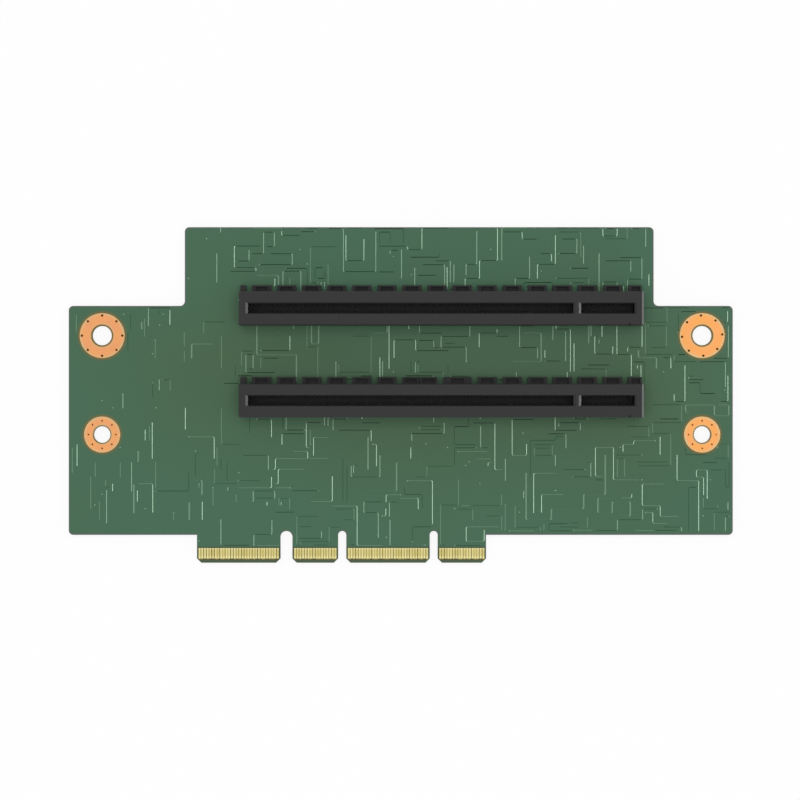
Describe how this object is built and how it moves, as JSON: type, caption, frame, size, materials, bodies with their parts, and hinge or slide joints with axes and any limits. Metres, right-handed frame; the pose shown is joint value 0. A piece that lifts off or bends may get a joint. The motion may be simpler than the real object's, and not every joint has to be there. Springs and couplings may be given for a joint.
{
  "type": "card slot riser board",
  "caption": "Green riser board with two parallel card slots, copper-ringed screw holes and a notched gold edge tab.",
  "frame": {"origin": "middle of the board's outline in plan, at the board's back face, on which the card lies", "axes": "+X along the card's long side, +Y from the edge tab up to the top edge, +Z out of the side with the card slots"},
  "size_m": [0.1476, 0.0746, 0.0128],
  "materials": {
    "board_mask": "green solder mask over glass laminate, semi-gloss",
    "pad_copper": "bare copper with a flat protective finish, satin",
    "finger_gold": "hard gold plating, satin",
    "housing_black": "black glass-filled moulding, matt",
    "contact_gold": "gold-plated copper alloy strip"
  },
  "bodies": {
    "root": {"circuit_board": "board_mask", "screw_pad_upper_left_front": "pad_copper", "screw_pad_upper_left_back": "pad_copper", "screw_pad_upper_right_front": "pad_copper", "screw_pad_upper_right_back": "pad_copper", "screw_pad_lower_left_front": "pad_copper", "screw_pad_lower_left_back": "pad_copper", "screw_pad_lower_right_front": "pad_copper", "screw_pad_lower_right_back": "pad_copper", "edge_fingers_1_front": "finger_gold", "edge_fingers_1_back": "finger_gold", "edge_fingers_2_front": "finger_gold", "edge_fingers_2_back": "finger_gold", "edge_fingers_3_front": "finger_gold", "edge_fingers_3_back": "finger_gold", "edge_fingers_4_front": "finger_gold", "edge_fingers_4_back": "finger_gold", "slot_housing_upper": "housing_black", "slot_contacts_upper_long_row_a": "contact_gold", "slot_contacts_upper_long_row_b": "contact_gold", "slot_contacts_upper_short_row_a": "contact_gold", "slot_contacts_upper_short_row_b": "contact_gold", "slot_housing_lower": "housing_black", "slot_contacts_lower_long_row_a": "contact_gold", "slot_contacts_lower_long_row_b": "contact_gold", "slot_contacts_lower_short_row_a": "contact_gold", "slot_contacts_lower_short_row_b": "contact_gold"}
  },
  "joints": []
}
